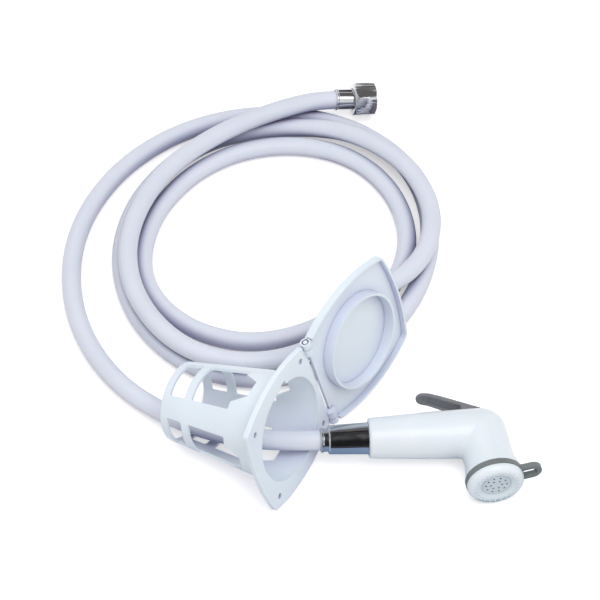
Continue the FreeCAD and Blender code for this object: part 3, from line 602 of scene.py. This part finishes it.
def face_bumps():
    """Set the ring of small domes on the spray face's rim."""
    rim = Matrix.Translation((NECK + RING_LENGTH + FACE_HEIGHT, 0, BUMP_CIRCLE))
    bumps = []
    for index in range(BUMP_COUNT):
        angle = 2 * math.pi * index / BUMP_COUNT
        bpy.ops.object.select_all(action="DESELECT")
        bpy.ops.mesh.primitive_uv_sphere_add(segments=16, ring_count=10, radius=BUMP_RADIUS)
        bump = bpy.context.active_object
        bpy.ops.object.mode_set(mode="EDIT")
        bpy.ops.mesh.select_all(action="SELECT")
        bpy.ops.mesh.bisect(plane_co=(0, 0, -BUMP_RADIUS / 2), plane_no=(0, 0, 1),
                            use_fill=True, clear_inner=True)
        bpy.ops.mesh.select_all(action="SELECT")
        bpy.ops.transform.resize(value=BUMP_SHAPE)
        bpy.ops.object.mode_set(mode="OBJECT")
        on_rim = Matrix.Rotation(angle, 4, "X") @ rim @ Matrix.Rotation(math.pi / 2, 4, "Y")
        set_in_place(bump, spray_place() @ on_rim)
        bumps.append(bump)
    piece = joined(bumps)
    piece.name = "spray_face_bumps"
    bpy.ops.object.shade_smooth_by_angle(angle=math.radians(BUMP_SHARP_ANGLE))
    fit(piece, "handset", "handle_plastic")


def nut_thread():
    """Wind the thread inside the union nut."""
    bpy.ops.object.select_all(action="DESELECT")
    bpy.ops.mesh.primitive_circle_add(vertices=3, radius=THREAD_DEPTH, rotation=(math.pi / 2, 0, 0))
    piece = bpy.context.active_object
    piece.name = "supply_nut_thread"
    bpy.ops.object.transform_apply(rotation=True)
    for vertex in piece.data.vertices:
        vertex.co += Vector((THREAD_RADIUS, 0, 0))
    bpy.ops.object.mode_set(mode="EDIT")
    bpy.ops.mesh.select_all(action="SELECT")
    bpy.ops.object.mode_set(mode="OBJECT")
    wind = piece.modifiers.new("helix", "SCREW")
    wind.axis = "Z"
    wind.angle = math.radians(360)
    wind.screw_offset = THREAD_PITCH
    wind.iterations = THREAD_TURNS
    wind.steps = THREAD_STEPS
    wind.render_steps = THREAD_STEPS
    apply_modifiers(piece)
    turn = SUPPLY_DIRECTION.to_track_quat("Z", "Y").to_matrix().to_4x4()
    set_in_place(piece, Matrix.Translation(SUPPLY_END + SUPPLY_DIRECTION * THREAD_START) @ turn)
    bpy.ops.object.mode_set(mode="EDIT")
    bpy.ops.mesh.select_all(action="SELECT")
    bpy.ops.mesh.normals_make_consistent(inside=False)
    bpy.ops.object.mode_set(mode="OBJECT")
    fit(piece, BODY_OF_NODE["supply_nut"], "plated_metal")


def shower_hose():
    curve = bpy.data.curves.new("hose_line", "CURVE")
    curve.dimensions = "3D"
    curve.bevel_depth = HOSE / 2
    curve.bevel_resolution = HOSE_ROUNDNESS
    curve.resolution_u = HOSE_STEPS
    curve.use_fill_caps = True
    line = curve.splines.new("NURBS")
    line.points.add(len(ROUTE) - 1)
    for point, place in zip(line.points, ROUTE):
        point.co = (*(Vector(place) * MILLIMETRE), 1.0)
    line.order_u = 3
    line.use_endpoint_u = True
    hose = bpy.data.objects.new("hose", curve)
    bpy.context.scene.collection.objects.link(hose)
    give_finish(hose, FINISHES["hose_plastic"])
    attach(hose, "base")
    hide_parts("shower_hose")
    return hose


def floor():
    """Lay the plain pale floor, which shows as white and keeps the shower's shadow."""
    bpy.ops.mesh.primitive_plane_add(size=FLOOR_SIZE)
    piece = bpy.context.active_object
    piece.name = "floor"
    material = bpy.data.materials.new("pale_floor")
    material.use_nodes = True
    tree = material.node_tree
    shader = tree.nodes["Principled BSDF"]
    shader.inputs["Base Color"].default_value = FLOOR_COLOUR
    shader.inputs["Roughness"].default_value = 0.9
    shader.inputs["Specular IOR Level"].default_value = 0.0
    seen = seen_directly(tree)
    lift = tree.nodes.new("ShaderNodeMath")
    lift.operation = "MULTIPLY"
    lift.inputs[1].default_value = FLOOR_LIFT
    tree.links.new(seen, lift.inputs[0])
    shader.inputs["Emission Color"].default_value = WHITE
    tree.links.new(lift.outputs[0], shader.inputs["Emission Strength"])
    give_finish(piece, material)


def seen_directly(tree):
    """Return a socket that is one for camera, glossy and transmitted rays."""
    path = tree.nodes.new("ShaderNodeLightPath")
    both = tree.nodes.new("ShaderNodeMath")
    both.operation = "MAXIMUM"
    tree.links.new(path.outputs["Is Camera Ray"], both.inputs[0])
    tree.links.new(path.outputs["Is Glossy Ray"], both.inputs[1])
    every = tree.nodes.new("ShaderNodeMath")
    every.operation = "MAXIMUM"
    tree.links.new(both.outputs[0], every.inputs[0])
    tree.links.new(path.outputs["Is Transmission Ray"], every.inputs[1])
    return every.outputs[0]


def surroundings():
    """Light the shower softly from all round and show white behind it."""
    world = bpy.data.worlds.new("pale_studio")
    bpy.context.scene.world = world
    world.use_nodes = True
    tree = world.node_tree
    soft = tree.nodes["Background"]
    soft.inputs["Color"].default_value = SKY_COLOUR
    soft.inputs["Strength"].default_value = SKY_STRENGTH
    white = tree.nodes.new("ShaderNodeBackground")
    white.inputs["Color"].default_value = WHITE
    white.inputs["Strength"].default_value = 1.0
    mix = tree.nodes.new("ShaderNodeMixShader")
    tree.links.new(seen_directly(tree), mix.inputs["Fac"])
    tree.links.new(soft.outputs["Background"], mix.inputs[1])
    tree.links.new(white.outputs["Background"], mix.inputs[2])
    tree.links.new(mix.outputs["Shader"], tree.nodes["World Output"].inputs["Surface"])


def soft_light(name, place, size, power):
    """Add one large soft lamp that points at the shower."""
    lamp = bpy.data.lights.new(name, "AREA")
    lamp.shape = "DISK"
    lamp.size = size
    lamp.energy = power
    holder = bpy.data.objects.new(name, lamp)
    bpy.context.scene.collection.objects.link(holder)
    holder.location = place
    holder.rotation_euler = (Vector(LAMP_TARGET) - Vector(place)).to_track_quat("-Z", "Y").to_euler()


def card_finish(name, colour):
    """Return the plain matt finish of a card that the plating mirrors."""
    material = bpy.data.materials.new(name)
    material.use_nodes = True
    shader = material.node_tree.nodes["Principled BSDF"]
    shader.inputs["Base Color"].default_value = colour
    shader.inputs["Roughness"].default_value = 1.0
    return material


def bent_card(name, middle, width, start, end, colour):
    """Bend a card far over one metal part, from one height angle to another, counted from the front."""
    bpy.ops.object.select_all(action="DESELECT")
    bpy.ops.mesh.primitive_cylinder_add(vertices=CARD_CORNERS, radius=CARD_RADIUS, depth=width,
                                        end_fill_type="NOTHING", rotation=(0, math.pi / 2, 0))
    piece = bpy.context.active_object
    piece.name = name
    bpy.ops.object.transform_apply(rotation=True)
    select_faces(piece, lambda face: not start < math.degrees(math.atan2(face.center.z, -face.center.y)) < end)
    bpy.ops.object.mode_set(mode="EDIT")
    bpy.ops.mesh.delete(type="FACE")
    bpy.ops.object.mode_set(mode="OBJECT")
    set_in_place(piece, Matrix.Translation(middle))
    give_finish(piece, card_finish(name, colour))
    only_mirrored(piece)


def flat_card(name, near, far, middle, width, colour):
    """Lay a card on the floor before a metal part."""
    bpy.ops.object.select_all(action="DESELECT")
    bpy.ops.mesh.primitive_plane_add(size=1)
    piece = bpy.context.active_object
    piece.name = name
    bpy.ops.object.mode_set(mode="EDIT")
    bpy.ops.transform.resize(value=(width, far - near, 1))
    bpy.ops.transform.translate(value=(middle, (near + far) / 2, CARD_LIFT))
    bpy.ops.object.mode_set(mode="OBJECT")
    give_finish(piece, card_finish(name, colour))
    only_mirrored(piece)


def only_mirrored(piece):
    """Make a studio card show in reflections alone."""
    piece.visible_camera = False
    piece.visible_diffuse = False
    piece.visible_shadow = False
    piece.visible_transmission = False


def camera():
    """Look down at the shower from the front."""
    lens = bpy.data.cameras.new("camera")
    lens.lens = CAMERA_LENS
    lens.sensor_width = CAMERA_SENSOR
    holder = bpy.data.objects.new("camera", lens)
    bpy.context.scene.collection.objects.link(holder)
    climb = math.radians(CAMERA_HEIGHT_ANGLE)
    holder.location = CAMERA_AIM + Vector((0, -math.cos(climb), math.sin(climb))) * CAMERA_DISTANCE
    holder.rotation_euler = (math.radians(90) - climb, 0, 0)
    bpy.context.scene.camera = holder


for node_name, node_object in frame["nodes"].items():
    give_finish(node_object, PLATE_FINISH if node_name == "nozzle_plate" else FINISHES[SLOT_OF_NODE[node_name]])
turned_ring()
for turned in ("supply_nut", "supply_sleeve", "handset_sleeve", "cone_nut"):
    rounded_moulding(turned, TURNED_EDGE, 2)
rounded_moulding("spray_face", TURNED_EDGE, 2, FACE_FINISH)
soft_skin("handset_body", "handset_shell", CROOK_VOXEL, CROOK_PLACE, CROOK_REACH)
soft_skin("trigger_lever", "trigger_lever_soft", LEVER_VOXEL, SCOOP_PLACE, SCOOP_REACH)
drilled_plate()
face_bumps()
nut_thread()
hinge_pin("hinge_pin_top", "hinge_pin_bottom")
hinge_pin("hinge_pin_bottom", "hinge_pin_top")
shower_hose()
for card, measures in BENT_CARDS.items():
    bent_card(card, *measures)
for card, measures in FLAT_CARDS.items():
    flat_card(card, *measures)
floor()
surroundings()
for lamp_name, lamp_measures in LAMPS.items():
    soft_light(lamp_name, *lamp_measures)
camera()
bpy.context.scene.view_settings.view_transform = "Standard"
